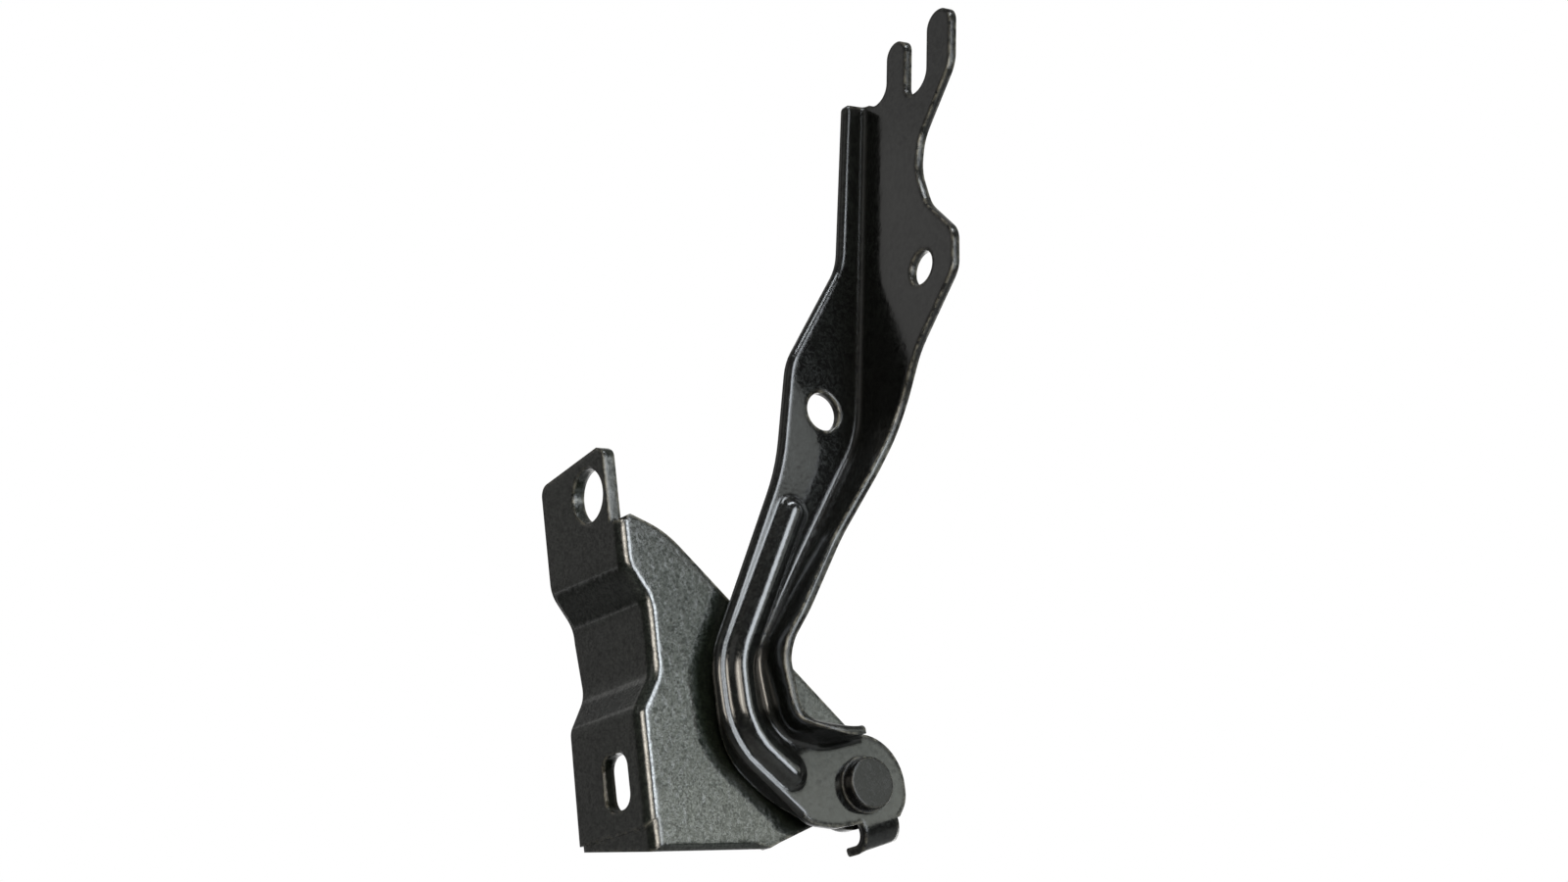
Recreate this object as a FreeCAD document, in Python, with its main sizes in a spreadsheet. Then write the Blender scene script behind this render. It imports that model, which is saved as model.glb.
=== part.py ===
import FreeCAD, Part
import math
import os

import Sketcher

# Bonnet hinge, closed: a stamped bracket that bolts to the body and a stamped gooseneck arm that bolts
# to the bonnet, joined by one headed rivet.
#
# Millimetres. The origin is the centre of the bracket's upper bolt hole, on its mounting face. +Z runs up
# the mounting face, +X from it towards the rivet, and +Y along the rivet, from its head to its tail.

V = FreeCAD.Vector
UP = V(0, 0, 1)

doc = FreeCAD.newDocument("bonnet_hinge")

# Driving dimensions

SIZES = {
    # the rivet's axis and the arm's front face, from the upper bolt hole
    "pivot_x": 60.0,
    "pivot_z": -75.5,
    "arm_face_y": -19.0,
    # sheet thicknesses and the radius inside a pressed bend
    "arm_sheet": 2.2,
    "bracket_sheet": 3.4,
    "arm_bend_inside": 1.3,
    "bracket_bend_outside": 2.8,
    # bracket: joggled mounting flange
    "flange_front_y": -8.3,
    "flange_rear_top_y": 20.5,
    "flange_waist_y": 17.8,
    "flange_rear_bottom_y": 18.6,
    "flange_top_z": 10.8,
    "flange_rear_drop": 3.6,
    "flange_bottom_z": -83.5,
    "flange_notch_z": -8.8,
    "flange_recess": 5.5,
    "body_hole_radius": 6.8,
    "body_hole_spacing": 71.0,
    "body_slot_half_width": 5.5,
    "body_slot_half_length": 6.9,
    "body_slot_corner": 3.8,
    # bracket: fan plate, its raised pivot boss and its turned-back lower lip
    "plate_drop": 14.2,
    "plate_end_radius": 9.9,
    "boss_height": 2.4,
    "boss_top_radius": 7.8,
    "boss_foot_radius": 9.4,
    "lip_depth": 30.0,
    "lip_length": 34.0,
    "lip_bend_outside": 1.6,
    "lip_rise_deg": 9.0,
    # arm
    "arm_lean_deg": 9.67,
    "arm_end_radius": 12.8,
    "flange_reach": 42.0,
    "web_top": 181.2,
    "bonnet_hole_radius": 4.6,
    "bonnet_hole_y": -25.3,
    "bonnet_hole_up": 128.7,
    "web_hole_radius": 5.0,
    "web_hole_x": 1.1,
    "web_hole_z": 95.6,
    "skirt_depth": 5.4,
    "skirt_edge": 1.4,
    "bead_height": 2.8,
    "bead_crest_radius": 4.2,
    "bead_foot_radius": 1.5,
    # stop tab at the arm's foot
    "tab_lean_deg": 13.5,
    "tab_root": 10.0,
    "tab_bend_outside": 5.8,
    "tab_depth": 9.4,
    "tab_left": 3.9,
    "tab_length": 11.1,
    # rivet, bush and washers on the pivot
    "rivet_radius": 4.9,
    "rivet_neck_radius": 3.9,
    "rivet_head_radius": 6.5,
    "rivet_head_height": 3.1,
    "rivet_head_edge": 0.3,
    "rivet_tail_radius": 5.6,
    "rivet_tail_height": 2.4,
    "head_washer_radius": 7.1,
    "head_washer_thickness": 0.5,
    "bush_radius": 6.4,
    "bush_collar_radius": 7.8,
    "bush_collar_thickness": 1.0,
    "washer_radius": 7.6,
    "washer_thickness": 1.2,
    "running_clearance": 0.05,
    "washer_clearance": 0.2,
    "tail_clearance": 0.5,
}

sheet = doc.addObject("Spreadsheet::Sheet", "Sizes")
for row, (alias, value) in enumerate(SIZES.items(), start=1):
    sheet.set("A%d" % row, alias)
    sheet.set("B%d" % row, str(value))
    sheet.setAlias("B%d" % row, alias)
doc.recompute()


def size(alias):
    """The number in a cell of the sheet."""
    return float(sheet.get(alias))


# Outlines: straight runs joined by tangent arcs

def rounded(corners, closed=True):
    """Lines and arcs through corners (x, y, radius), each corner rounded by its own radius."""
    count = len(corners)
    starts, ends, arcs = [], [], []
    for i, (x, y, radius) in enumerate(corners):
        here = V(x, y, 0)
        if not closed and i in (0, count - 1):
            starts.append(here)
            ends.append(here)
            arcs.append(None)
            continue
        before = V(corners[i - 1][0], corners[i - 1][1], 0)
        after = V(corners[(i + 1) % count][0], corners[(i + 1) % count][1], 0)
        towards_before = (before - here).normalize()
        towards_after = (after - here).normalize()
        half_angle = towards_before.getAngle(towards_after) / 2
        if radius <= 0 or abs(half_angle - math.pi / 2) < 1e-4:
            starts.append(here)
            ends.append(here)
            arcs.append(None)
            continue
        setback = radius / math.tan(half_angle)
        start = here + towards_before * setback
        end = here + towards_after * setback
        bisector = (towards_before + towards_after).normalize()
        centre = here + bisector * (radius / math.sin(half_angle))
        starts.append(start)
        ends.append(end)
        arcs.append(Part.Arc(start, centre - bisector * radius, end))
    pieces = []
    for i in range(count if closed else count - 1):
        if arcs[i]:
            pieces.append(arcs[i])
        nearer, further = ends[i], starts[(i + 1) % count]
        if nearer.distanceToPoint(further) > 1e-4:
            pieces.append(Part.LineSegment(nearer, further))
    return pieces


def beside(corners, distance):
    """An open run of corners, shifted sideways to its left by a distance."""
    shifted = []
    for i, (x, y, radius) in enumerate(corners):
        here = V(x, y, 0)
        sides = []
        if i > 0:
            sides.append((here - V(corners[i - 1][0], corners[i - 1][1], 0)).normalize())
        if i < len(corners) - 1:
            sides.append((V(corners[i + 1][0], corners[i + 1][1], 0) - here).normalize())
        normals = [V(-side.y, side.x, 0) for side in sides]
        mean = normals[0] if len(normals) == 1 else (normals[0] + normals[1]).normalize()
        mitre = distance / mean.dot(normals[0])
        turn_left = len(sides) == 2 and sides[0].cross(sides[1]).z > 0
        new_radius = radius - distance if turn_left else radius + distance
        place = here + mean * mitre
        shifted.append((place.x, place.y, max(new_radius, 0) if radius else 0))
    return shifted


def arc(centre_x, centre_y, radius, start, end):
    """An arc about a centre, its angles measured from -Y towards +X."""
    spots = [V(centre_x + radius * math.sin(turn), centre_y - radius * math.cos(turn), 0)
             for turn in (start, (start + end) / 2, end)]
    return Part.Arc(*spots)


def run(*points):
    """Straight lines from point to point."""
    pairs = zip(points, points[1:])
    return [Part.LineSegment(V(x0, y0, 0), V(x1, y1, 0)) for (x0, y0), (x1, y1) in pairs]


# Bodies, sketches and features

def new_body(label, at_pivot=True):
    """A body whose own origin is the pivot on the arm's front face, or the frame's origin."""
    body = doc.addObject("PartDesign::Body", label)
    body.Label = label
    if at_pivot:
        body.setExpression("Placement.Base.x", "Sizes.pivot_x")
        body.setExpression("Placement.Base.y", "Sizes.arm_face_y")
        body.setExpression("Placement.Base.z", "Sizes.pivot_z")
    return body


def new_sketch(body, name, role, pieces=(), offset=None):
    """A sketch on one of the body's origin planes, holding the given lines and arcs."""
    drawing = body.newObject("Sketcher::SketchObject", name)
    plane = [item for item in body.Origin.OriginFeatures if item.Role == role][0]
    drawing.AttachmentSupport = [(plane, "")]
    drawing.MapMode = "FlatFace"
    if offset:
        drawing.AttachmentOffset = offset
    for piece in pieces:
        index = drawing.addGeometry(piece, False)
        drawing.addConstraint(Sketcher.Constraint("Block", index))
    return drawing


def add_circle(drawing, radius, across=None, up=None):
    """A circle whose radius and centre are cells of the sheet; no centre means the sketch's origin."""
    middle = V(size(across) if across else 0, size(up) if up else 0, 0)
    index = drawing.addGeometry(Part.Circle(middle, UP, size(radius)), False)
    if not across and not up:
        drawing.addConstraint(Sketcher.Constraint("Coincident", index, 3, -1, 1))
    for kind, cell in (("DistanceX", across), ("DistanceY", up)):
        if cell:
            rule = drawing.addConstraint(Sketcher.Constraint(kind, -1, 1, index, 3, size(cell)))
            drawing.setExpression("Constraints[%d]" % rule, "Sizes." + cell)
        elif across or up:
            axis = -2 if kind == "DistanceX" else -1
            drawing.addConstraint(Sketcher.Constraint("PointOnObject", index, 3, axis))
    rule = drawing.addConstraint(Sketcher.Constraint("Radius", index, size(radius)))
    drawing.setExpression("Constraints[%d]" % rule, "Sizes." + radius)


def pad(body, name, drawing, length, reverse=False):
    """A pad whose length is a cell of the sheet, or a number that follows from several cells."""
    feature = body.newObject("PartDesign::Pad", name)
    feature.Profile = drawing
    if isinstance(length, str):
        feature.setExpression("Length", length)
    else:
        feature.Length = length
    feature.Reversed = reverse
    return feature


def cut_through(body, name, drawing):
    """A pocket right through the body, both ways from its sketch."""
    feature = body.newObject("PartDesign::Pocket", name)
    feature.Profile = drawing
    feature.Type = 1
    feature.Midplane = True
    return feature


def pipe(body, name, profile, spine, kind="PartDesign::AdditivePipe"):
    """A section swept along a path, which adds metal or cuts it away."""
    feature = body.newObject(kind, name)
    feature.Profile = profile
    feature.Spine = spine
    return feature


def at_start(corners):
    """Where a section is drawn: square across the first run of a path in the XZ plane."""
    (x, z, _), (next_x, next_z, _) = corners[0], corners[1]
    turn = math.degrees(math.atan2(x - next_x, z - next_z))
    return FreeCAD.Placement(V(x, 0, z), FreeCAD.Rotation(V(0, 1, 0), turn))


def revolve(body, name, pieces, centre=(0.0, 0.0), kind="PartDesign::Revolution"):
    """A closed (radius, y) outline turned about an axis parallel to Y through centre (x, z)."""
    offset = FreeCAD.Placement(V(centre[0], 0, centre[1]), FreeCAD.Rotation())
    drawing = new_sketch(body, name + "_outline", "XY_Plane", pieces, offset)
    feature = body.newObject(kind, name)
    feature.Profile = drawing
    feature.ReferenceAxis = (drawing, ["V_Axis"])
    feature.Angle = 360.0
    return feature


# How far an outline that only cuts runs on past the metal

PAST = 5.0

# Hinge arm. Its own axes start at the rivet, on the front face of the web: x, z in the web's plane

arm_sheet = size("arm_sheet")
arm_bend = size("arm_bend_inside")
web_top = size("web_top")
end_radius = size("arm_end_radius")

# fold between the web and the flange: from the fork's tip, down the neck and round inside the gooseneck
FORK_TIP = 198.0
LEAN_FOOT = (11.3, 89.0)
lean = math.radians(size("arm_lean_deg"))
fork_tip_x = LEAN_FOOT[0] + (FORK_TIP - LEAN_FOOT[1]) * math.tan(lean)
FOLD = [
    (fork_tip_x, FORK_TIP, 0),
    (LEAN_FOOT[0], LEAN_FOOT[1], 34.0),
    (-27.8, 32.6, 15.0),
    (-25.4, 12.6, 10.0),
    (-12.0, 9.5, 14.0),
    (0.6, 11.9, 0),
]

# outer edge of the web, from its top corner down round the gooseneck
GOOSENECK = [(-40.6, 31.8, 22.0), (-40.0, 10.6, 22.0)]
OUTER = [
    (20.9, web_top, 2.4),
    (12.3, 135.5, 16.0),
    (-7.6, 108.5, 18.0),
    (-14.4, 80.5, 60.0),
] + GOOSENECK + [(-17.4, -9.4, 8.0)]

# the stop tab folds back along a line that leans a little
tab_lean = math.radians(size("tab_lean_deg"))
tab_root = size("tab_root")
tab_left = size("tab_left")
along_tab = V(math.cos(tab_lean), math.sin(tab_lean), 0)
below_tab = V(math.sin(tab_lean), -math.cos(tab_lean), 0)


def by_tab(along, below, radius=0.0):
    """A corner measured along the stop tab's fold and below the pivot."""
    place = along_tab * along + below_tab * below
    return (place.x, place.y, radius)


RELIEF = 1.4
FOLD_LAP = 1.5
web_lap = arm_bend + FOLD_LAP
inner_side = beside(FOLD, -web_lap)
fork_tip_side = inner_side[0]
web_corner = (fork_tip_side[0] - (FORK_TIP - web_top) * math.tan(lean), web_top, 0)
foot = [
    (-9.6, -10.4, 4.0),
    by_tab(-tab_left - RELIEF, tab_root - RELIEF, 0.6),
    by_tab(-tab_left, tab_root - RELIEF),
    by_tab(-tab_left, tab_root),
    by_tab(math.sqrt(end_radius ** 2 - tab_root ** 2), tab_root, 1.0),
    (end_radius, -4.0, 8.0),
    (end_radius, end_radius, end_radius),
    (-0.4, end_radius, 0),
]
web_outline = OUTER + foot + list(reversed(inner_side[1:])) + [web_corner]

arm = new_body("hinge_arm")
web = new_sketch(arm, "web_outline", "XZ_Plane", rounded(web_outline))
pad(arm, "web", web, "Sizes.arm_sheet", reverse=True)

# folded flange: an L section with its bend, swept down the fold
reach = size("flange_reach")
fold_path = new_sketch(arm, "fold_path", "XZ_Plane", rounded(FOLD, closed=False))
fold_section = rounded([
    (-web_lap - FOLD_LAP, 0, 0),
    (0, 0, arm_bend),
    (0, -reach, 0),
    (arm_sheet, -reach, 0),
    (arm_sheet, arm_sheet, arm_bend + arm_sheet),
    (-web_lap - FOLD_LAP, arm_sheet, 0),
])
fold_profile = new_sketch(arm, "fold_section", "XY_Plane", fold_section, at_start(FOLD))
pipe(arm, "fold", fold_profile, fold_path)

# free edge of the flange, seen square to its side: two fingers, neck, bolt lobe and narrow inner flange
FREE_EDGE = [
    (12.0, web_top, 0),
    (-2.0, web_top - 0.6, 3.0),
    (-4.5, 179.3, 3.0),
    (-9.5, 180.6, 4.5),
    (-9.5, 194.4, 3.9),
    (-17.4, 194.4, 3.9),
    (-17.4, 176.8, 3.2),
    (-26.5, 176.8, 5.5),
    (-26.5, 196.8, 4.5),
    (-36.0, 196.8, 4.5),
    (-36.0, 180.0, 9.0),
    (-23.6, 163.5, 12.0),
    (-22.4, 155.0, 14.0),
    (-26.8, 144.4, 12.0),
    (-38.0, 133.8, 6.5),
    (-38.2, 123.2, 6.5),
    (-23.0, 106.0, 22.0),
    (-15.2, 88.0, 40.0),
    (-14.2, 76.0, 24.0),
    (-10.7, 60.0, 24.0),
    (-11.6, 41.0, 20.0),
    (-9.5, 29.0, 14.0),
    (-9.4, 15.0, 3.0),
    (-14.6, 11.6, 1.2),
    (-14.6, 4.0, 0),
    (-60.0, 4.0, 0),
    (-60.0, 215.0, 0),
    (12.0, 215.0, 0),
]
cut_through(arm, "free_edge", new_sketch(arm, "free_edge_outline", "YZ_Plane", rounded(FREE_EDGE)))

# the inner flange ends in a slant above the rivet
END_FOOT = 4.0
END_HIGH = 16.0
FLANGE_END = [
    (1.7, 0, 0),
    (-8.9, -13.0, 1.0),
    (-8.9, -20.0, 0),
    (8.0, -20.0, 0),
    (8.0, 0, 0),
]
end_place = FreeCAD.Placement(V(0, 0, END_FOOT), FreeCAD.Rotation())
flange_end_sketch = new_sketch(arm, "flange_end_outline", "XY_Plane", rounded(FLANGE_END), end_place)
flange_end_cut = arm.newObject("PartDesign::Pocket", "flange_end")
flange_end_cut.Profile = flange_end_sketch
flange_end_cut.Length = END_HIGH
flange_end_cut.Reversed = True

# skirt turned back along the outside of the gooseneck, fading into the web at both ends
skirt_depth = size("skirt_depth")
skirt_edge = size("skirt_edge")
SKIRT_PROUD = 0.02
SKIRT_FAINT = 0.1
SKIRT = [(-40.28, 20.6, 0), GOOSENECK[1], (-19.6, -7.4, 0)]
skirt_path = new_sketch(arm, "skirt_path", "XZ_Plane", rounded(SKIRT, closed=False))


def skirt_section(depth):
    """The skirt where it is so deep, a hair proud of the web's edge."""
    return rounded([
        (-SKIRT_PROUD, skirt_edge, 0),
        (-SKIRT_PROUD, depth, 0),
        (arm_sheet, depth, 0),
        (arm_sheet, skirt_edge, 0),
    ])


def across_skirt(share):
    """The plane square across the skirt's path, a share of the way along it."""
    path = Part.Wire([piece.toShape() for piece in rounded(SKIRT, closed=False)])
    steps = 200
    spots = path.discretize(steps + 1)
    i = round(share * steps)
    ahead = spots[min(i + 1, steps)] - spots[max(i - 1, 0)]
    turn = math.degrees(math.atan2(-ahead.x, -ahead.y))
    return FreeCAD.Placement(V(spots[i].x, 0, spots[i].y), FreeCAD.Rotation(V(0, 1, 0), turn))


faint = arm_sheet + SKIRT_FAINT
sections = []
for share, depth in ((0, faint), (0.45, skirt_depth), (0.8, skirt_depth), (1, faint)):
    name = "skirt_section_%d" % len(sections)
    sections.append(new_sketch(arm, name, "XY_Plane", skirt_section(depth), across_skirt(share)))
skirt = pipe(arm, "skirt", sections[0], skirt_path)
skirt.Transformation = "Multisection"
skirt.Sections = sections[1:]

# the web's outer edge is rolled over along its whole length
EDGE_PAST = 1.0
ROLLED = [(OUTER[0][0], OUTER[0][1], 0)] + OUTER[1:-1] + [(-19.4, -7.6, 0)]
rolled_path = new_sketch(arm, "rolled_path", "XZ_Plane", rounded(ROLLED, closed=False))
edge_section = rounded([
    (-EDGE_PAST, -EDGE_PAST, 0),
    (skirt_edge, -EDGE_PAST, 0),
    (skirt_edge, 0, 0),
    (0, 0, skirt_edge),
    (0, skirt_edge, 0),
    (-EDGE_PAST, skirt_edge, 0),
])
edge_profile = new_sketch(arm, "edge_section", "XY_Plane", edge_section, at_start(ROLLED))
pipe(arm, "rolled_edge", edge_profile, rolled_path, kind="PartDesign::SubtractivePipe")

# raised bead down the middle of the web, hollow behind, running softly out into it at its sides and ends
BEAD = [(-12.4, 68.6, 0), (-33.8, 31.0, 17.0), (-33.4, 13.6, 17.0), (-21.7, 3.4, 0)]
bead_path = new_sketch(arm, "bead_path", "XZ_Plane", rounded(BEAD, closed=False))
bead_high = size("bead_height")
crest_round = size("bead_crest_radius")
foot_round = size("bead_foot_radius")
both_rounds = crest_round + foot_round
bead_half = math.sqrt(2 * both_rounds * bead_high - bead_high ** 2)
bead_turn = math.acos((both_rounds - bead_high) / both_rounds)

# its face, from crest to foot, and its hollow, whose flanks lie one sheet behind
crest_y = crest_round - bead_high
hollow_round = crest_round - arm_sheet
face_foot = arc(bead_half, -foot_round, foot_round, math.pi + bead_turn, math.pi)
face_base = arm_sheet / 2
HOLLOW_PAST = 1.0
hollow_flank = (hollow_round * math.sin(bead_turn), crest_y - hollow_round * math.cos(bead_turn))
hollow_base = arm_sheet + HOLLOW_PAST
hollow_other = (-hollow_flank[0], hollow_flank[1])
hollow_half = hollow_flank[0] + (hollow_base - hollow_flank[1]) / math.tan(bead_turn)
face_whole = [
    arc(0, crest_y, crest_round, -bead_turn, bead_turn),
    face_foot,
    arc(-bead_half, -foot_round, foot_round, math.pi - bead_turn, math.pi),
] + run((bead_half, 0), (bead_half, face_base), (-bead_half, face_base), (-bead_half, 0))
face_side = [
    arc(0, crest_y, crest_round, 0, bead_turn),
    face_foot,
] + run((bead_half, 0), (bead_half, face_base), (0, face_base), (0, -bead_high))
hollow_whole = [arc(0, crest_y, hollow_round, -bead_turn, bead_turn)] + run(
    hollow_flank, (hollow_half, hollow_base), (-hollow_half, hollow_base), hollow_other)
hollow_side = [arc(0, crest_y, hollow_round, 0, bead_turn)] + run(
    hollow_flank, (hollow_half, hollow_base), (0, hollow_base), (0, crest_y - hollow_round))
for name, swept, turned, whole, side in (
    ("bead", "PartDesign::AdditivePipe", "PartDesign::Revolution", face_whole, face_side),
    ("bead_hollow", "PartDesign::SubtractivePipe", "PartDesign::Groove", hollow_whole, hollow_side),
):
    profile = new_sketch(arm, name + "_section", "XY_Plane", whole, at_start(BEAD))
    pipe(arm, name, profile, bead_path, kind=swept)
    for end, place in (("top", BEAD[0]), ("foot", BEAD[-1])):
        revolve(arm, name + "_" + end, side, centre=(place[0], place[1]), kind=turned)

# stop tab folded back from the foot
tab_bend = size("tab_bend_outside")
tab_depth = size("tab_depth")
TAB_LAP = 2.0
TAB_EDGE = 0.8
tab_high = -tab_root + TAB_LAP
tab_low = -tab_root - tab_bend
tab_section = rounded([
    (0, tab_high, 0),
    (0, tab_low, tab_bend),
    (tab_depth, tab_low, TAB_EDGE),
    (tab_depth, tab_low + arm_sheet, TAB_EDGE),
    (arm_sheet, tab_low + arm_sheet, tab_bend - arm_sheet),
    (arm_sheet, tab_high, 0),
])
turn_tab = FreeCAD.Rotation(V(1, 0, 0), -math.degrees(tab_lean))
tab_start = FreeCAD.Placement(turn_tab.multVec(V(0, 0, -tab_left)), turn_tab)
tab_profile = new_sketch(arm, "tab_section", "YZ_Plane", tab_section, tab_start)
pad(arm, "stop_tab", tab_profile, "Sizes.tab_length")

# holes: bonnet bolt, square to the leaning flange; tooling hole in the web; pivot hole for the bush
turn_flange = FreeCAD.Placement(V(0, 0, 0), FreeCAD.Rotation(V(1, 0, 0), math.degrees(lean)))
bonnet_hole = new_sketch(arm, "bonnet_hole_circle", "YZ_Plane", offset=turn_flange)
add_circle(bonnet_hole, "bonnet_hole_radius", "bonnet_hole_y", "bonnet_hole_up")
cut_through(arm, "bonnet_hole", bonnet_hole)
web_hole = new_sketch(arm, "web_hole_circle", "XZ_Plane")
add_circle(web_hole, "web_hole_radius", "web_hole_x", "web_hole_z")
cut_through(arm, "web_hole", web_hole)
pivot_hole = new_sketch(arm, "pivot_hole_circle", "XZ_Plane")
add_circle(pivot_hole, "bush_radius")
cut_through(arm, "pivot_hole", pivot_hole)

# Body bracket. Its own axes are the frame's; only its plate is drawn from the pivot

bracket_sheet = size("bracket_sheet")
collar = size("bush_collar_thickness")
washer = size("washer_thickness")
boss_height = size("boss_height")
recess = size("flange_recess")
bottom_z = size("flange_bottom_z")
notch_z = size("flange_notch_z")
front_y = size("flange_front_y")
pivot_x = size("pivot_x")
pivot_z = size("pivot_z")
plate_y = size("arm_face_y") + arm_sheet + collar + washer + boss_height
plate_back = plate_y + bracket_sheet
outside_bend = size("bracket_bend_outside")

bracket = new_body("body_bracket", at_pivot=False)

# lower lip: turned back from the plate's bottom edge, rising and narrowing away from the flange
lip_depth = size("lip_depth")
lip_length = size("lip_length")
lip_bend = size("lip_bend_outside")
rise = math.tan(math.radians(size("lip_rise_deg")))
lip_z = pivot_z - size("plate_drop")
LIP_START = 0.6
LIP_UP = 9.0
LIP_SHOULDER = 3.0
LIP_CORNER = 4.0
lip_end = LIP_START + lip_length
lip_rear = plate_y + lip_depth
lip_section = rounded([
    (plate_y, lip_z + LIP_UP, 0),
    (plate_y, lip_z, lip_bend),
    (lip_rear, lip_z + lip_depth * rise, 0),
    (lip_rear, lip_z + lip_depth * rise + bracket_sheet, 0),
    (plate_back, lip_z + bracket_sheet * (1 + rise), 0),
    (plate_back, lip_z + LIP_UP, 0),
])
lip_place = FreeCAD.Placement(V(0, 0, LIP_START), FreeCAD.Rotation())
lip = new_sketch(bracket, "lip_section", "YZ_Plane", lip_section, lip_place)
pad(bracket, "lip", lip, "Sizes.lip_length")
lip_side = rounded([
    (LIP_START + LIP_SHOULDER, lip_rear, LIP_CORNER),
    (lip_end, plate_back, 0),
    (lip_end + PAST, plate_back, 0),
    (lip_end + PAST, lip_rear + PAST, 0),
    (LIP_START + LIP_SHOULDER, lip_rear + PAST, 0),
])
cut_through(bracket, "lip_side", new_sketch(bracket, "lip_side_outline", "XY_Plane", lip_side))

# the lip's front corner is round, as the bend above it
CLEAR = 0.5
round_end = LIP_START + outside_bend + CLEAR
front_round = rounded([
    (LIP_START - PAST, plate_y - PAST, 0),
    (round_end, plate_y - PAST, 0),
    (round_end, plate_y, 0),
    (LIP_START, plate_y, outside_bend),
    (LIP_START, plate_y + outside_bend + CLEAR, 0),
    (LIP_START - PAST, plate_y + outside_bend + CLEAR, 0),
])
cut_through(bracket, "lip_corner", new_sketch(bracket, "lip_corner_outline", "XY_Plane", front_round))

# mounting flange: an L section with its bend, swept up a path that steps in between the two bolt pads
PAD_STEPS = [(0, -55.2), (recess, -46.6), (recess, -28.8), (0, -20.2)]
STEP_ROUND = [5.0, 9.0, 9.0, 9.0]
PATH_TOP = 16.0
steps = [(x, z, radius) for (x, z), radius in zip(PAD_STEPS, STEP_ROUND)]
FLANGE_PATH = [(0, bottom_z, 0)] + steps + [(0, PATH_TOP, 0)]
flange_path = new_sketch(bracket, "flange_path", "XZ_Plane", rounded(FLANGE_PATH, closed=False))
WEB_LEG = 0.8
REAR_SPARE = 2.0
web_leg = outside_bend + WEB_LEG
rear_y = size("flange_rear_top_y")
flange_section = rounded([
    (0, plate_y, outside_bend),
    (0, rear_y + REAR_SPARE, 0),
    (bracket_sheet, rear_y + REAR_SPARE, 0),
    (bracket_sheet, plate_back, 0),
    (web_leg, plate_back, 0),
    (web_leg, plate_y, 0),
])
at_bottom = FreeCAD.Placement(V(0, 0, bottom_z), FreeCAD.Rotation())
flange_profile = new_sketch(bracket, "flange_section", "XY_Plane", flange_section, at_bottom)
pipe(bracket, "flange", flange_profile, flange_path)

# flange outline, seen square: slanting top, tapered rear edge, and the notch that frees it from the plate
top_z = size("flange_top_z")
waist_y = size("flange_waist_y")
BELOW = 1.0
FLANGE_EDGE = [
    (plate_y - PAST, PATH_TOP + PAST, 0),
    (plate_y - PAST, notch_z, 0),
    (front_y, notch_z, 0.8),
    (front_y, top_z - 1.4, 2.5),
    (front_y + 2.4, top_z, 1.0),
    (rear_y, top_z - size("flange_rear_drop"), 3.0),
    (rear_y, -32.0, 20.0),
    (waist_y, -54.0, 12.0),
    (size("flange_rear_bottom_y"), bottom_z - BELOW, 0),
    (rear_y + PAST, bottom_z - BELOW, 0),
    (rear_y + PAST, PATH_TOP + PAST, 0),
]
flange_edge = new_sketch(bracket, "flange_edge_outline", "YZ_Plane", rounded(FLANGE_EDGE))
cut_through(bracket, "flange_edge", flange_edge)

# the flange's foot curves up towards its bend, in front of the drawn corner
FOOT_ROUND = 5.0
FOOT_AHEAD = 1.0
foot_round_top = bottom_z + FOOT_ROUND + CLEAR
flange_foot = rounded([
    (plate_y - PAST, bottom_z - BELOW, 0),
    (plate_y + FOOT_ROUND, bottom_z - BELOW, 0),
    (plate_y + FOOT_ROUND, bottom_z, 0),
    (plate_y - FOOT_AHEAD, bottom_z, FOOT_ROUND),
    (plate_y - FOOT_AHEAD, foot_round_top, 0),
    (plate_y - PAST, foot_round_top, 0),
])
cut_through(bracket, "flange_foot", new_sketch(bracket, "flange_foot_outline", "YZ_Plane", flange_foot))

# drawn corner that closes the lip against the flange's foot: round in front, flat behind
CORNER_REAR = 14.0
CORNER_WALL = 1.6
CORNER_UP = 6.0
CORNER_LAP = 1.0
lip_middle = lip_z + bracket_sheet / 2
corner_top = bottom_z + CORNER_UP
corner_section = rounded([
    (LIP_START, plate_y, outside_bend),
    (LIP_START, plate_back + CLEAR, 0),
    (round_end, plate_back + CLEAR, 0),
    (round_end, plate_y, 0),
])
corner_place = FreeCAD.Placement(V(0, 0, lip_middle), FreeCAD.Rotation())
corner_profile = new_sketch(bracket, "corner_section", "XY_Plane", corner_section, corner_place)
pad(bracket, "corner_front", corner_profile, corner_top - lip_middle)
corner_side = rounded([
    (plate_back, corner_top, 0),
    (plate_back, lip_middle, 0),
    (CORNER_REAR, lip_middle + (CORNER_REAR - plate_y) * rise, 0),
    (CORNER_REAR, bottom_z + CORNER_LAP, 0),
])
corner_outline = new_sketch(bracket, "corner_side_outline", "YZ_Plane", corner_side, lip_place)
pad(bracket, "corner_back", corner_outline, CORNER_WALL)

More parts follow.
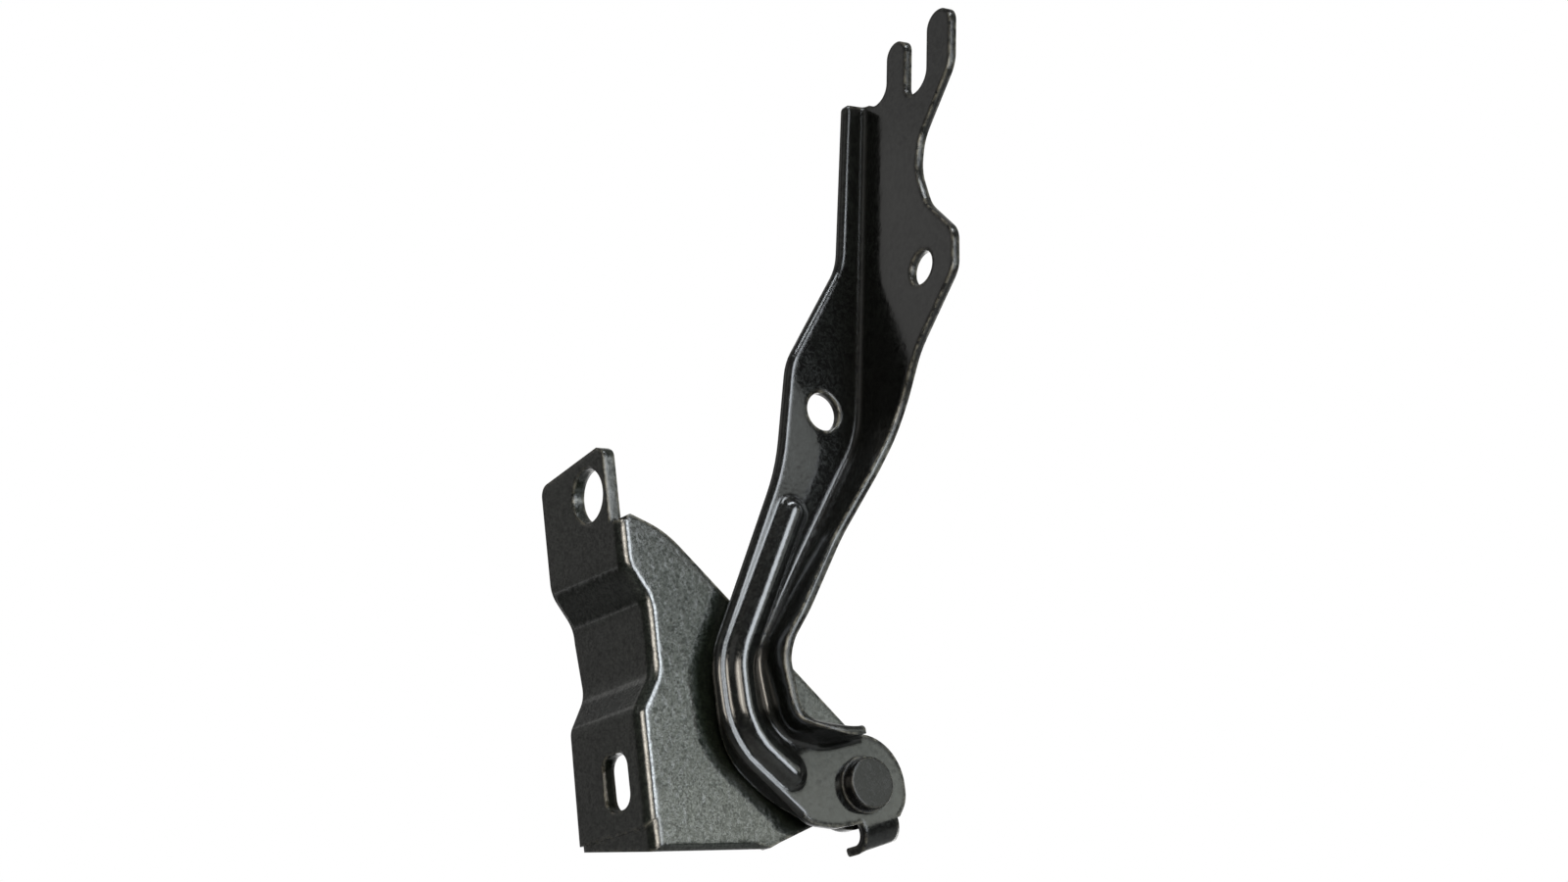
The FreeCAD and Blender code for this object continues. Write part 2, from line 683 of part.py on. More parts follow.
# fan plate, drawn from the pivot: arched upper edge, rounded end, stop shoulder and straight bottom
LIP_FADE = 5.0
SHOULDER_RISE = 0.3
BEND_LAP = 0.2
PLATE_LEFT = -57.4
end = size("plate_end_radius")
plate_foot = -size("plate_drop")
lip_right = lip_end - pivot_x
bend_foot = plate_foot + lip_bend + BEND_LAP
plate_left_z = notch_z - pivot_z
along_bend = [(x - pivot_x, z - pivot_z, radius) for x, z, radius in beside(FLANGE_PATH, -outside_bend)]
PLATE = [
    (PLATE_LEFT, 68.6, 1.0),
    (-46.6, 64.2, 26.0),
    (-30.6, 48.4, 60.0),
    (7.4, 10.6, 8.0),
    (end, -2.0, 0),
    (0, -5.0, 0),
    (-8.9, -7.75, 0),
    (-22.6, -12.7, 5.0),
    (lip_right, plate_foot + SHOULDER_RISE, 0),
    (lip_right - LIP_FADE, bend_foot, 0),
    (along_bend[0][0], bend_foot, 0),
] + along_bend[1:-1] + [
    (along_bend[-1][0], plate_left_z, 0),
    (PLATE_LEFT, plate_left_z, 0),
]
at_pivot = FreeCAD.Placement(V(pivot_x, pivot_z, -plate_y), FreeCAD.Rotation())
plate = new_sketch(bracket, "plate_outline", "XZ_Plane", rounded(PLATE), at_pivot)
pad(bracket, "plate", plate, "Sizes.bracket_sheet", reverse=True)
plate_end = new_sketch(bracket, "plate_end_circle", "XZ_Plane", offset=at_pivot)
add_circle(plate_end, "plate_end_radius")
pad(bracket, "plate_end", plate_end, "Sizes.bracket_sheet", reverse=True)

# raised boss under the washer, pressed out from behind
boss_top = size("boss_top_radius")
boss_foot = size("boss_foot_radius")
tail_room = size("rivet_tail_radius") + size("tail_clearance")
hollow_foot = tail_room + boss_foot - boss_top
BOSS_LAP = 0.5
centre = (pivot_x, pivot_z)
boss_shape = rounded([
    (0, plate_y - boss_height, 0),
    (boss_top, plate_y - boss_height, 0),
    (boss_foot, plate_y, 0),
    (boss_foot, plate_y + BOSS_LAP, 0),
    (0, plate_y + BOSS_LAP, 0),
])
revolve(bracket, "boss", boss_shape, centre)
hollow_shape = rounded([
    (0, plate_back - boss_height, 0),
    (tail_room, plate_back - boss_height, 0),
    (hollow_foot, plate_back, 0),
    (hollow_foot, plate_back + HOLLOW_PAST, 0),
    (0, plate_back + HOLLOW_PAST, 0),
])
revolve(bracket, "boss_hollow", hollow_shape, centre, kind="PartDesign::Groove")

# holes: rivet, round upper body bolt hole, slotted lower one
rivet_hole = new_sketch(bracket, "rivet_hole_circle", "XZ_Plane", offset=at_pivot)
add_circle(rivet_hole, "rivet_neck_radius")
cut_through(bracket, "rivet_hole", rivet_hole)
upper_hole = new_sketch(bracket, "upper_hole_circle", "YZ_Plane")
add_circle(upper_hole, "body_hole_radius")
cut_through(bracket, "upper_hole", upper_hole)
half_width = size("body_slot_half_width")
half_length = size("body_slot_half_length")
slot_corner = size("body_slot_corner")
slot_z = -size("body_hole_spacing")
slot = rounded([
    (-half_width, slot_z - half_length, slot_corner),
    (half_width, slot_z - half_length, slot_corner),
    (half_width, slot_z + half_length, slot_corner),
    (-half_width, slot_z + half_length, slot_corner),
])
cut_through(bracket, "lower_slot", new_sketch(bracket, "lower_slot_outline", "YZ_Plane", slot))

# Pivot stack, from the head back: rivet, head washer, bush with its collar, thrust washer

shank = size("rivet_radius")
neck = size("rivet_neck_radius")
head = size("rivet_head_radius")
head_edge = size("rivet_head_edge")
head_base = -size("head_washer_thickness")
head_top = head_base - size("rivet_head_height")
shoulder = arm_sheet + collar + washer
tail_start = shoulder + bracket_sheet
tail = size("rivet_tail_radius")
tail_end = tail_start + size("rivet_tail_height")
loose = shank + size("washer_clearance")
TAIL_BEVEL = 1.3

rivet = new_body("pivot_rivet")
revolve(rivet, "turned", rounded([
    (0, head_top, 0),
    (head - head_edge, head_top, 0),
    (head, head_top + head_edge, 0),
    (head, head_base, 0),
    (shank, head_base, 0),
    (shank, shoulder, 0),
    (neck, shoulder, 0),
    (neck, tail_start, 0),
    (tail, tail_start, 0),
    (tail, tail_end - TAIL_BEVEL, 0),
    (tail - TAIL_BEVEL, tail_end, 0),
    (0, tail_end, 0),
]))


def ring(label, inner, outer, front, back):
    """A flat washer between two heights along the pivot."""
    body = new_body(label)
    revolve(body, "ring", rounded([
        (inner, front, 0),
        (outer, front, 0),
        (outer, back, 0),
        (inner, back, 0),
    ]))
    return body


head_washer = ring("head_washer", loose, size("head_washer_radius"), head_base, 0)
thrust_washer = ring("thrust_washer", loose, size("washer_radius"), arm_sheet + collar, shoulder)

bore = shank + size("running_clearance")
bush = new_body("pivot_bush")
revolve(bush, "turned", rounded([
    (bore, 0, 0),
    (size("bush_radius"), 0, 0),
    (size("bush_radius"), arm_sheet, 0),
    (size("bush_collar_radius"), arm_sheet, 0),
    (size("bush_collar_radius"), arm_sheet + collar, 0),
    (bore, arm_sheet + collar, 0),
]))

# Check and write

doc.recompute()
for item in doc.Objects:
    if "Invalid" in item.State or "Error" in item.State:
        raise RuntimeError("failed feature: " + item.Name)
os.makedirs("parts", exist_ok=True)
for body in (bracket, arm, rivet, head_washer, bush, thrust_washer):
    shape = body.Shape
    if shape.isNull() or not shape.isValid() or len(shape.Solids) != 1:
        raise RuntimeError("bad shape: " + body.Label)
    shape.exportStep("parts/%s.step" % body.Label)
    print(body.Label, "%.0f mm3" % shape.Volume, shape.BoundBox)
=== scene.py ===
# %% [markdown]
# # Black-coated bonnet hinge
#
# The hinge's six pieces come from CAD as finished meshes: a joggled body bracket, a gooseneck arm, and the
# rivet, bush and washers that join them. The work here is everything that makes pressed steel look like
# pressed steel: a thin black dip coat, edges that catch the light, and a studio with soft panels.
#
# The order is frame, camera, shared shader groups, one material per finish, lights, room and floor.

# %% Load the frame
import math
import bpy
from mathutils import Matrix, Vector

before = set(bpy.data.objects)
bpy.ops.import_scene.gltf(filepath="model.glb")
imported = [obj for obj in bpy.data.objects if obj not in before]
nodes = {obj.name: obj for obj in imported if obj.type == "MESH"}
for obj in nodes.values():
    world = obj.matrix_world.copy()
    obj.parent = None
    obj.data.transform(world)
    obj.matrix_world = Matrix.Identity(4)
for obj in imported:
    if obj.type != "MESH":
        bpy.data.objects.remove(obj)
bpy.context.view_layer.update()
print("pieces:", ", ".join(sorted(nodes)))

# %% [markdown]
# ## Camera
#
# Everything is in metres. The camera stands in front of the hinge, to the left of it and a little below, and
# looks up by about 14 degrees. A long lens keeps the arm's upright lines nearly parallel, as a product
# photographer would. A camera could be turned by three angles, but it is placed here by its three axes, so
# that its small roll is kept without a fourth number, and so that its forward axis can be used again below.

# %% Place the camera
RIGHT = Vector((0.8052, -0.5825, -0.1112))
UP = Vector((-0.0556, -0.2609, 0.9638))
AHEAD = Vector((0.5904, 0.7698, 0.2425))
STAND = Vector((-0.4330, -0.6457, -0.1858))
LENS_MM = 74.75
SENSOR_MM = 36.0

camera = bpy.data.objects.new("camera", bpy.data.cameras.new("camera"))
bpy.context.scene.collection.objects.link(camera)
bpy.context.scene.camera = camera
turned = Matrix((RIGHT, UP, -AHEAD)).transposed().to_4x4()
camera.matrix_world = Matrix.Translation(STAND) @ turned
camera.data.lens = LENS_MM
camera.data.sensor_width = SENSOR_MM
camera.data.sensor_fit = "HORIZONTAL"
camera.data.clip_start = 0.01
camera.data.clip_end = 20
print("camera looks up by %.1f degrees" % math.degrees(math.asin(AHEAD.z / AHEAD.length)))

# %% [markdown]
# ## Small helpers for node trees
#
# A node tree is easier to read when each node is made in one call. `add` makes a node, sets its options and
# its unlinked sockets, and links the sockets that are given as another node's output. A socket is named with
# underscores for spaces, or counted: `i0` is the first input. `new_group` makes an empty shader group with
# named inputs and outputs, which several materials can then share.

# %% Node helpers
def add(tree, kind, options=None, **sockets):
    node = tree.nodes.new(kind)
    for name, value in (options or {}).items():
        setattr(node, name, value)
    for name, value in sockets.items():
        spot = int(name[1:]) if name[0] == "i" and name[1:].isdigit() else name.replace("_", " ")
        if isinstance(value, bpy.types.NodeSocket):
            tree.links.new(value, node.inputs[spot])
        else:
            node.inputs[spot].default_value = value
    return node


def new_group(name, inputs, outputs):
    tree = bpy.data.node_groups.new(name, "ShaderNodeTree")
    for socket, kind, default in inputs:
        made = tree.interface.new_socket(socket, in_out="INPUT", socket_type=kind)
        if default is not None:
            made.default_value = default
    for socket, kind in outputs:
        tree.interface.new_socket(socket, in_out="OUTPUT", socket_type=kind)
    return tree, tree.nodes.new("NodeGroupInput").outputs, tree.nodes.new("NodeGroupOutput").inputs


print("node helpers ready")

# %% [markdown]
# ## Helpers for values and colours
#
# Most of a material is the same three steps again and again: stretch a noise to a useful range, do a sum with
# it, and go from one colour to another by it. Each gets a helper that returns the node's output.

# %% Value and colour helpers
def ranged(tree, value, low, high, to_low=0.0, to_high=1.0):
    """The value, stretched from one range to another and held inside it."""
    node = add(tree, "ShaderNodeMapRange", Value=value, From_Min=low, From_Max=high, To_Min=to_low,
               To_Max=to_high)
    return node.outputs[0]


def worked(tree, operation, *values):
    """The result of one Math node."""
    sockets = {"i%d" % spot: value for spot, value in enumerate(values)}
    return add(tree, "ShaderNodeMath", {"operation": operation}, **sockets).outputs[0]


def dotted(tree, first, second):
    """How far two directions agree: 1 where they are the same."""
    node = add(tree, "ShaderNodeVectorMath", {"operation": "DOT_PRODUCT"}, i0=first, i1=second)
    return node.outputs["Value"]


def blended(tree, factor, first, second):
    """A colour between two colours."""
    return add(tree, "ShaderNodeMix", {"data_type": "RGBA"}, i0=factor, i6=first, i7=second).outputs[2]


def opaque(red, green, blue):
    """A colour as Blender's colour sockets take it, with its fourth number."""
    return (red, green, blue, 1.0)


print("value helpers ready")

# %% [markdown]
# ## Group: coat grain
#
# A dip coat over pickled steel is never one flat tone. Seen close there is a mottling of about a millimetre,
# and over some centimetres the film runs thicker and thinner. A photo texture could hold both, but it would
# need seams; noise on the piece's own coordinates has none. `Shade` is the fine mottling, for the tone, the
# roughness and the clear top film. `Patch` is the slow change. `Peel` is a height for the bump: the slight
# orange peel of cured paint.

# %% Build the coat grain
MOTTLE_SPREAD = (0.38, 0.62)
MOTTLE_TWIST = 1.6
PATCHES_PER_METRE = 16.0
PATCH_SPREAD = (0.32, 0.68)
PEEL_PER_METRE = 520.0

grain, given, result = new_group(
    "coat_grain",
    [("Place", "NodeSocketVector", None), ("Grain per metre", "NodeSocketFloat", 900.0)],
    [("Shade", "NodeSocketFloat"), ("Patch", "NodeSocketFloat"), ("Peel", "NodeSocketFloat")],
)
fine = add(grain, "ShaderNodeTexNoise", Vector=given["Place"], Scale=given["Grain per metre"], Detail=2.0,
           Roughness=0.5, Distortion=MOTTLE_TWIST)
broad = add(grain, "ShaderNodeTexNoise", Vector=given["Place"], Scale=PATCHES_PER_METRE, Detail=2.0,
            Roughness=0.5)
waves = add(grain, "ShaderNodeTexNoise", Vector=given["Place"], Scale=PEEL_PER_METRE, Detail=1.5,
            Roughness=0.4)
grain.links.new(ranged(grain, fine.outputs[0], *MOTTLE_SPREAD), result["Shade"])
grain.links.new(ranged(grain, broad.outputs[0], *PATCH_SPREAD), result["Patch"])
grain.links.new(waves.outputs[0], result["Peel"])
print("coat grain:", len(grain.nodes), "nodes")

# %% [markdown]
# ## Group: edge glint
#
# The Bevel node gives the normal that a surface would have with its edges rounded. Where that normal leaves
# the true one, there is an edge close by, so how little the two agree is a mask of all edges. Noise breaks
# the mask up into broken lines. The coat lightens its colour by this mask: a painted highlight along the
# edges. The rounded normal itself goes on to the material: it is what makes a sheared edge or a tight fold
# catch a line of light.
# material: it is what makes a sheared edge or a tight fold catch a line of light.

# %% Build the edge glint
EDGE_AGREES = (0.995, 0.80)
BREAKS_PER_METRE = 420.0
BREAKS_SPREAD = (0.42, 0.60)

edges, given, result = new_group(
    "edge_glint",
    [("Place", "NodeSocketVector", None), ("Radius", "NodeSocketFloat", 0.0005)],
    [("Mask", "NodeSocketFloat"), ("Normal", "NodeSocketVector")],
)
rounded = add(edges, "ShaderNodeBevel", {"samples": 8}, Radius=given["Radius"]).outputs[0]
flat = add(edges, "ShaderNodeNewGeometry").outputs["Normal"]
near_edge = ranged(edges, dotted(edges, rounded, flat), *EDGE_AGREES)
# Noise breaks the painted edge highlight into broken lines.
breaks = add(edges, "ShaderNodeTexNoise", Vector=given["Place"], Scale=BREAKS_PER_METRE, Detail=5.0,
             Roughness=0.7)
uneven = ranged(edges, breaks.outputs[0], *BREAKS_SPREAD)
edges.links.new(worked(edges, "MULTIPLY", near_edge, uneven), result["Mask"])
edges.links.new(rounded, result["Normal"])
print("edge glint:", len(edges.nodes), "nodes")

# %% [markdown]
# ## Group: handling
#
# A part that has lain in a bin carries faint rubbed streaks and a little dust. The streaks come from a noise
# that a Mapping node stretches along the part's height and leans a little, so that they don't run dead
# upright. The dust is thicker on faces that look up. Both are weak: they should be felt in the reflections
# and not seen as dirt.

# %% Build the handling marks
STREAK_STRETCH = (1.0, 1.0, 0.12)
STREAK_LEAN = (0.3, 0.2, 0.4)
STREAKS_PER_METRE = 330.0
STREAK_SPREAD = (0.56, 0.74)
DUST_PER_METRE = 1400.0
DUST_SPREAD = (0.5, 0.7)
LOOKS_UP = (0.2, 1.0)

handling, given, result = new_group(
    "handling",
    [("Place", "NodeSocketVector", None)],
    [("Rub", "NodeSocketFloat"), ("Dust", "NodeSocketFloat")],
)
stretched = add(handling, "ShaderNodeMapping", Vector=given["Place"], Scale=STREAK_STRETCH,
                Rotation=STREAK_LEAN)
streaks = add(handling, "ShaderNodeTexNoise", Vector=stretched.outputs[0], Scale=STREAKS_PER_METRE,
              Detail=4.0, Roughness=0.6)
handling.links.new(ranged(handling, streaks.outputs[0], *STREAK_SPREAD), result["Rub"])
facing = add(handling, "ShaderNodeNewGeometry").outputs["Normal"]
upward = add(handling, "ShaderNodeSeparateXYZ", Vector=facing).outputs["Z"]
lying = ranged(handling, upward, *LOOKS_UP)
specks = add(handling, "ShaderNodeTexNoise", Vector=given["Place"], Scale=DUST_PER_METRE, Detail=3.0,
             Roughness=0.75)
speckled = ranged(handling, specks.outputs[0], *DUST_SPREAD)
handling.links.new(worked(handling, "MULTIPLY", lying, speckled), result["Dust"])
print("handling:", len(handling.nodes), "nodes")

# %% [markdown]
# ## Material: black dip coat
#
# One function makes the coat for every black piece. The tone goes from a thick film to a thin one, which is
# greener and lighter because a little of the phosphated steel shows through. Slow patches darken it again,
# a painted highlight along the edges and dust lighten it.
#
# Rubbed places are smoother and dusty ones rougher. The Principled shader's coat stands for the clear film
# on top: it lies unevenly, so its weight follows the mottling, and that is what makes the sparkle in a
# reflected panel. The rounded normal of the edge glint group comes in through the bump node.

# %% Define the coat
PATCH_STRENGTH = 0.55
PATCH_DARKER = 0.62
# How strongly the painted edge highlight lightens the film.
WEAR_STRENGTH = 0.7
DUST_STRENGTH = 0.10
# The pale tone of the painted edge highlight.
WORN_TONE = opaque(0.16, 0.15, 0.12)
DUST_TONE = opaque(0.32, 0.30, 0.27)
SMOOTHER, ROUGHER = 0.05, 0.06
RUBBED_SMOOTHER = -0.08
DUSTY_ROUGHER = 0.15
PEEL_HEIGHT = 0.0002
FILM_ROUGHNESS = 0.09


def coat(name, thick, thin, roughness, grain_per_metre, peel, gloss, topcoat, soft_edge):
    material = bpy.data.materials.new(name)
    material.use_nodes = True
    tree = material.node_tree
    tree.nodes.clear()
    place = add(tree, "ShaderNodeTexCoord").outputs["Object"]
    texture = add(tree, "ShaderNodeGroup", {"node_tree": grain}, Place=place, Grain_per_metre=grain_per_metre)
    worn = add(tree, "ShaderNodeGroup", {"node_tree": edges}, Place=place, Radius=soft_edge)
    marks = add(tree, "ShaderNodeGroup", {"node_tree": handling}, Place=place)
    shade, dust = texture.outputs["Shade"], marks.outputs["Dust"]

    film = blended(tree, shade, opaque(*thick), opaque(*thin))
    patch = worked(tree, "MULTIPLY", texture.outputs["Patch"], PATCH_STRENGTH)
    film = blended(tree, patch, film, opaque(*(PATCH_DARKER * part for part in thick)))
    # Painted highlight: the edge mask lightens the film along every edge.
    film = blended(tree, ranged(tree, worn.outputs["Mask"], 0.0, 1.0, 0.0, WEAR_STRENGTH), film, WORN_TONE)
    film = blended(tree, ranged(tree, dust, 0.0, 1.0, 0.0, DUST_STRENGTH), film, DUST_TONE)

    rough = ranged(tree, shade, 0.0, 1.0, roughness - SMOOTHER, roughness + ROUGHER)
    rough = worked(tree, "MULTIPLY_ADD", marks.outputs["Rub"], RUBBED_SMOOTHER, rough)
    rough = worked(tree, "MULTIPLY_ADD", dust, DUSTY_ROUGHER, rough)
    bump = add(tree, "ShaderNodeBump", Height=texture.outputs["Peel"], Normal=worn.outputs["Normal"],
               Strength=peel, Distance=PEEL_HEIGHT).outputs[0]
    surface = add(tree, "ShaderNodeBsdfPrincipled", Base_Color=film, Roughness=rough, Normal=bump, IOR=1.5,
                  Specular_IOR_Level=gloss, Coat_Weight=ranged(tree, shade, 0.0, 1.0, *topcoat),
                  Coat_Roughness=FILM_ROUGHNESS)
    tree.links.new(surface.outputs[0], add(tree, "ShaderNodeOutputMaterial").inputs[0])
    return material


print("coat defined")

# %% [markdown]
# ## The four coats
#
# The two pressings and the rivet went through the same bath, but they don't look the same. The bracket has
# the strongest mottling, in its tone and in its clear film. The arm is smoother and darker. Its bead and
# bends are soft, so it gets the widest soft edge, 2 mm. The rivet's turned head is satin, and the washers,
# which sit in the shade of other pieces, are duller still.
#
# A coat is named by the tones of its thick and thin film, its roughness, the size of its grain, the strength
# of its peel and gloss, the least and most weight of the clear film, and the radius of its edges in metres.

# %% Make the coats
bracket_coat = coat("bracket_coat", thick=(0.004, 0.005, 0.004), thin=(0.009, 0.012, 0.008), roughness=0.19,
                    grain_per_metre=1050.0, peel=0.50, gloss=0.46, topcoat=(0.12, 0.92), soft_edge=0.0018)
arm_coat = coat("arm_coat", thick=(0.003, 0.003, 0.003), thin=(0.006, 0.007, 0.006), roughness=0.15,
                grain_per_metre=620.0, peel=0.22, gloss=0.39, topcoat=(0.16, 0.36), soft_edge=0.0020)
rivet_coat = coat("rivet_coat", thick=(0.004, 0.004, 0.004), thin=(0.010, 0.010, 0.010), roughness=0.22,
                  grain_per_metre=900.0, peel=0.10, gloss=0.17, topcoat=(0.10, 0.16), soft_edge=0.0010)
washer_coat = coat("washer_coat", thick=(0.006, 0.006, 0.006), thin=(0.014, 0.014, 0.014), roughness=0.45,
                   grain_per_metre=1100.0, peel=0.22, gloss=0.30, topcoat=(0.10, 0.20), soft_edge=0.0010)
print("coats:", bracket_coat.name, arm_coat.name, rivet_coat.name, washer_coat.name)

# %% [markdown]
# ## Material: sintered bronze
#
# The bush between arm and rivet is pressed from bronze powder. It stays uncoated, so it is a metal, dull
# and speckled with tiny pores that hold oil. A Voronoi texture gives a distance from scattered points, and
# the smallest distances are the pores: darker in the tone and deeper in the bump.

# %% Make the bronze
PORES_PER_METRE = 3200.0
PORE_EDGE = (0.05, 0.22)
BRONZE_GRAIN_PER_METRE = 2600.0
BRONZE_DARK = opaque(0.34, 0.20, 0.09)
BRONZE_LIGHT = opaque(0.52, 0.34, 0.17)
PORE_TONE = opaque(0.05, 0.03, 0.015)
BRONZE_ROUGHNESS = (0.38, 0.55)

bronze = bpy.data.materials.new("bush_bronze")
bronze.use_nodes = True
tree = bronze.node_tree
tree.nodes.clear()
place = add(tree, "ShaderNodeTexCoord").outputs["Object"]
texture = add(tree, "ShaderNodeGroup", {"node_tree": grain}, Place=place,
              Grain_per_metre=BRONZE_GRAIN_PER_METRE)
pores = add(tree, "ShaderNodeTexVoronoi", Vector=place, Scale=PORES_PER_METRE)
pitted = ranged(tree, pores.outputs["Distance"], *PORE_EDGE)
tone = blended(tree, texture.outputs["Shade"], BRONZE_DARK, BRONZE_LIGHT)
tone = blended(tree, pitted, PORE_TONE, tone)
bump = add(tree, "ShaderNodeBump", Height=pitted, Strength=0.5, Distance=0.0001).outputs[0]
surface = add(tree, "ShaderNodeBsdfPrincipled", Base_Color=tone, Metallic=1.0, Normal=bump,
              Roughness=ranged(tree, texture.outputs["Shade"], 0.0, 1.0, *BRONZE_ROUGHNESS))
tree.links.new(surface.outputs[0], add(tree, "ShaderNodeOutputMaterial").inputs[0])
print("bronze:", len(tree.nodes), "nodes")

# %% [markdown]
# ## Dress the pieces
#
# Each CAD node keeps its mesh and its place. Only the material in its slot changes.

# %% Assign the materials
FINISH = {
    "body_bracket": bracket_coat,
    "hinge_arm": arm_coat,
    "pivot_rivet": rivet_coat,
    "head_washer": washer_coat,
    "thrust_washer": washer_coat,
    "pivot_bush": bronze,
}
for name, material in FINISH.items():
    mesh = nodes[name].data
    mesh.materials.clear()
    mesh.materials.append(material)
    print("%-14s %-13s %5d faces" % (name, material.name, len(mesh.polygons)))

# %% [markdown]
# ## Light
#
# Black gloss has almost no colour of its own: it shows what it reflects. Each flat face of the hinge looks
# back at one part of the room, so every panel is placed by mirror direction, seen from the middle of the
# hinge. A panel's brightness in a reflection is its watts over its area, so a small panel needs few watts.
# The panels are hidden from the camera, or one could stand in the picture in another view.
#
# Each row below gives a name, a direction from the middle, then the distance, width and height in metres, the
# watts, and the colour of the light.

# %% Define a panel
MIDDLE = Vector((0.045, -0.015, 0.015))


def panel(name, towards, distance, across, high, watts, tint):
    """A soft panel, some way from the hinge in a direction, facing it."""
    lamp = bpy.data.lights.new(name, "AREA")
    lamp.shape = "RECTANGLE"
    lamp.size = across
    lamp.size_y = high
    lamp.energy = watts
    lamp.color = tint
    stand = bpy.data.objects.new(name, lamp)
    bpy.context.scene.collection.objects.link(stand)
    away = Vector(towards).normalized()
    stand.location = MIDDLE + away * distance
    stand.rotation_mode = "QUATERNION"
    stand.rotation_quaternion = away.to_track_quat("Z", "Y")
    stand.visible_camera = False
    return stand


print("panels face", [round(1000 * part) for part in MIDDLE], "mm")

# %% [markdown]
# ## Key panels
#
# The fan plate and the arm's web mirror what stands to the front and right. One tall panel there would light
# both the same, from top to bottom. Four low ones, one above the other, grade the light: the plate is
# brightest near its foot and a little yellow there, its top gets less, and the highest panel is seen by the
# web alone. The arm stands between the panels and the plate, which makes the dark band beside it.

# %% Hang the key panels
key_panels = [
    panel("key_panel", (0.62, -0.76, 0.04), 0.95, 0.56, 0.145, 0.45, (0.93, 1.0, 0.92)),
    panel("key_top_panel", (0.62, -0.76, 0.165), 0.95, 0.56, 0.10, 0.13, (0.95, 1.0, 0.95)),
    panel("web_panel", (0.62, -0.76, 0.251), 0.95, 0.56, 0.066, 0.19, (0.95, 1.0, 0.97)),
    panel("key_low_panel", (0.62, -0.76, 0.00), 0.93, 0.56, 0.09, 0.14, (0.98, 1.0, 0.88)),
]
print("key panels:", ", ".join(stand.name for stand in key_panels))

# %% [markdown]
# ## Boxes for the bends
#
# A bend turns through many directions in a few millimetres, so it squeezes whatever stands there into a thin
# line. The cool front box draws the line on the bracket's bend and on the bead's crest. It is narrow and
# stands a little to the right, so that the flat faces stay black in the straight front view. The warm box and
# strip on the left draw the second line beside it, and the strip above does the same for what looks up.

# %% Hang the boxes
boxes = [
    panel("front_box", (0.29, -0.96, 0.10), 0.95, 0.32, 0.88, 12.0, (0.88, 0.94, 1.0)),
    panel("left_box", (-0.45, -0.89, 0.10), 0.90, 0.54, 0.36, 4.4, (1.0, 0.92, 0.80)),
    panel("left_strip", (-0.48, -0.86, 0.10), 0.86, 0.12, 0.40, 1.6, (1.0, 0.95, 0.86)),
    panel("top_strip", (0.05, -0.45, 0.90), 0.80, 0.50, 0.10, 4.0, (0.90, 0.95, 1.0)),
]
print("boxes:", ", ".join(stand.name for stand in boxes))

# %% [markdown]
# ## Fill from the sides and the back
#
# The bracket's flange and the arm's flange look to the left and back, where three weak panels lift them from
# black to a dark grey. The rear panel is for the view from behind, which would have nothing to mirror.

# %% Hang the fill panels
fill_panels = [
    panel("left_panel", (-0.80, -0.30, 0.50), 0.90, 0.40, 0.60, 0.3, (1.0, 0.99, 0.96)),
    panel("back_left_panel", (-0.62, 0.75, 0.22), 1.10, 0.70, 0.90, 0.25, (1.0, 0.98, 0.95)),
    panel("back_high_panel", (-0.45, 0.75, 0.62), 1.10, 0.60, 0.35, 0.20, (1.0, 0.99, 0.97)),
    panel("rear_panel", (0.86, 0.50, -0.12), 1.10, 0.80, 0.80, 3.4, (1.0, 0.99, 0.97)),
]
print("panels in all:", len(key_panels + boxes + fill_panels))

# %% [markdown]
# ## Room
#
# The camera sees a white room, while the coat mirrors a dim one, a little brighter above than below, so that
# it stays black. Brighter lamps would whiten the room too, but they would grey the coat. The Light Path node
# tells the two apart: Is Camera Ray is 1 for what the camera looks at straight. Is Glossy Ray and Is
# Transmission Ray are added for the part of the room right behind the hinge, the sheet of white paper, so
# that a face seen at a grazing angle mirrors the same white as the background beside it.

# %% Build the room
PAPER_EDGE = (0.90, 0.97)
ROOM_HEIGHTS = (-0.6, 0.8)
ROOM_BELOW = opaque(0.10, 0.10, 0.095)
ROOM_ABOVE = opaque(0.14, 0.14, 0.14)
WHITE = opaque(1.0, 1.0, 1.0)


def shown_white(tree, behind):
    """1 for camera rays, and for mirrored or refracted rays that end behind the hinge."""
    rays = add(tree, "ShaderNodeLightPath").outputs
    mirrored = worked(tree, "MAXIMUM", rays["Is Glossy Ray"], rays["Is Transmission Ray"])
    return worked(tree, "MAXIMUM", rays["Is Camera Ray"], worked(tree, "MULTIPLY", mirrored, behind))


world = bpy.data.worlds.new("room")
bpy.context.scene.world = world
world.use_nodes = True
tree = world.node_tree
tree.nodes.clear()
direction = add(tree, "ShaderNodeTexCoord").outputs["Generated"]
height = add(tree, "ShaderNodeSeparateXYZ", Vector=direction).outputs["Z"]
room_tone = blended(tree, ranged(tree, height, *ROOM_HEIGHTS), ROOM_BELOW, ROOM_ABOVE)
paper_behind = ranged(tree, dotted(tree, direction, AHEAD), *PAPER_EDGE)
backdrop = blended(tree, shown_white(tree, paper_behind), room_tone, WHITE)
lit = add(tree, "ShaderNodeBackground", Color=backdrop, Strength=1.0)
tree.links.new(lit.outputs[0], add(tree, "ShaderNodeOutputWorld").inputs[0])
print("room:", len(tree.nodes), "nodes")
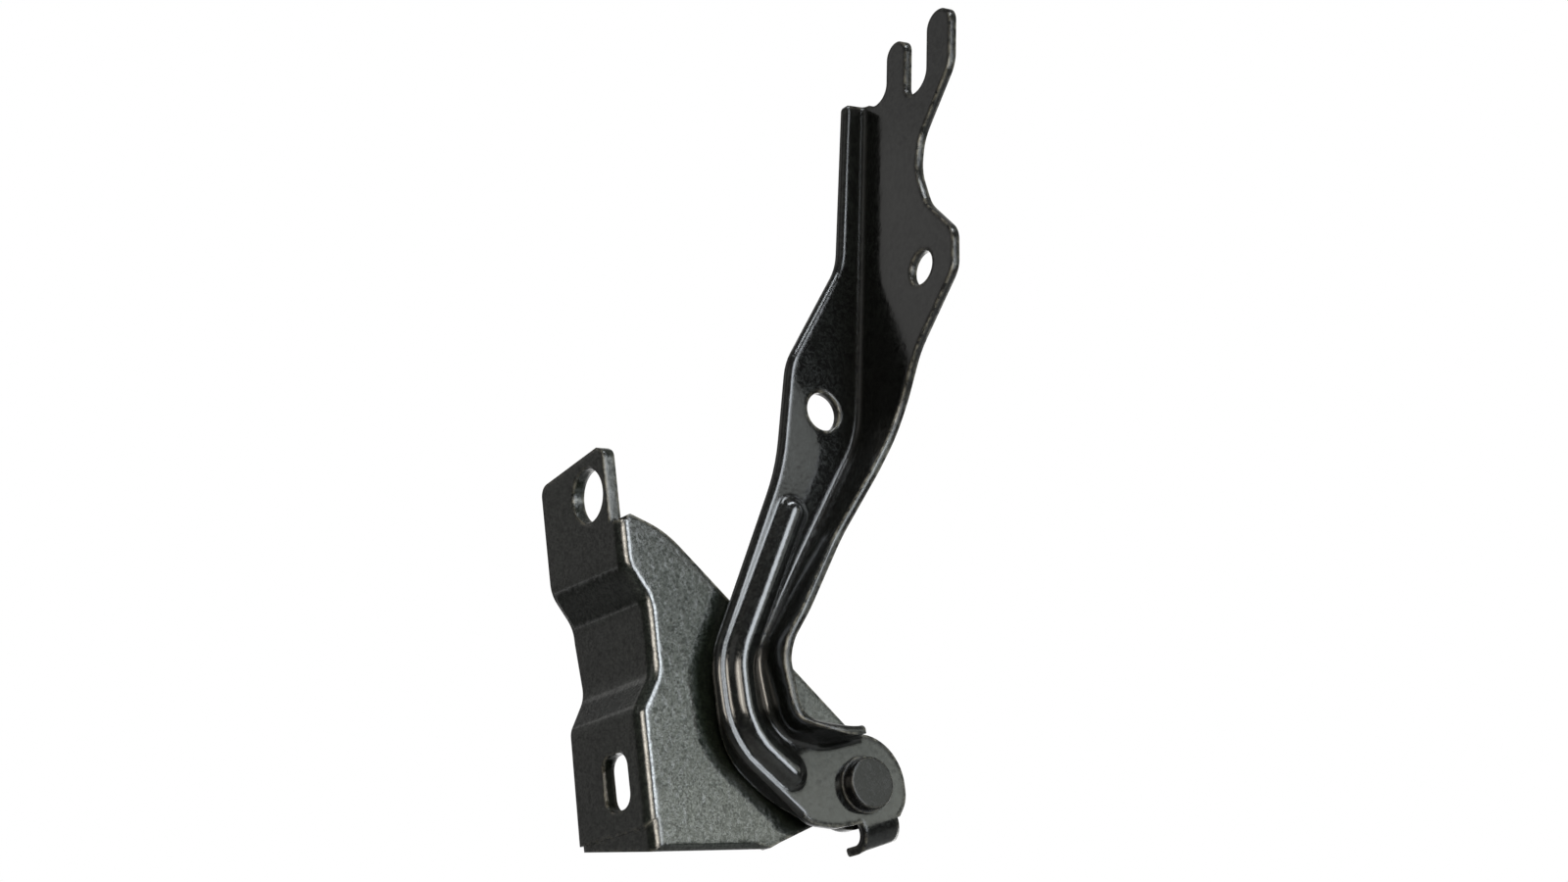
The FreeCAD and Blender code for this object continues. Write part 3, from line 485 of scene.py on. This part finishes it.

# %% [markdown]
# ## Floor
#
# The floor is one big square some way below the hinge. For the lamps it is a grey sheet, which sends a little
# light up. For the camera it is white, as the room is. A white that shines by itself would swallow the
# hinge's shadow, so an Ambient Occlusion node, which measures how much of the open sky each spot sees, dims
# it under the hinge.

# %% Lay the floor
FLOOR_Z = -0.50
FLOOR_HALF = 4.0
corners = [(-FLOOR_HALF, -FLOOR_HALF), (FLOOR_HALF, -FLOOR_HALF), (FLOOR_HALF, FLOOR_HALF),
           (-FLOOR_HALF, FLOOR_HALF)]
floor_mesh = bpy.data.meshes.new("floor")
floor_mesh.from_pydata([(x, y, FLOOR_Z) for x, y in corners], [], [(0, 1, 2, 3)])
floor = bpy.data.objects.new("floor", floor_mesh)
bpy.context.scene.collection.objects.link(floor)

# %% Paint the floor
FLOOR_EDGE = (0.60, 1.60)
FLOOR_GREY = opaque(0.40, 0.40, 0.39)
SHADOW_REACH = 0.80
OPEN_SKY = (0.80, 0.99)
SHADOW_DEPTH = 0.45

paper = bpy.data.materials.new("paper_floor")
paper.use_nodes = True
tree = paper.node_tree
tree.nodes.clear()
spot_on_floor = add(tree, "ShaderNodeTexCoord").outputs["Object"]
floor_behind = ranged(tree, dotted(tree, spot_on_floor, AHEAD), *FLOOR_EDGE)
matte = add(tree, "ShaderNodeBsdfDiffuse", Color=FLOOR_GREY).outputs[0]
open_sky = add(tree, "ShaderNodeAmbientOcclusion", {"samples": 16}, Distance=SHADOW_REACH).outputs["AO"]
shadow = ranged(tree, open_sky, *OPEN_SKY, SHADOW_DEPTH, 1.0)
white = add(tree, "ShaderNodeEmission", Color=WHITE, Strength=shadow).outputs[0]
mixed = add(tree, "ShaderNodeMixShader", i0=shown_white(tree, floor_behind), i1=matte, i2=white)
tree.links.new(mixed.outputs[0], add(tree, "ShaderNodeOutputMaterial").inputs[0])
floor_mesh.materials.append(paper)
print("floor paint:", len(tree.nodes), "nodes")

# %% [markdown]
# ## Picture settings
#
# Standard shows a colour as it is written. The default view would soften the blacks, and this hinge is black.

# %% Set the view
bpy.context.scene.view_settings.view_transform = "Standard"
print("view transform:", bpy.context.scene.view_settings.view_transform)
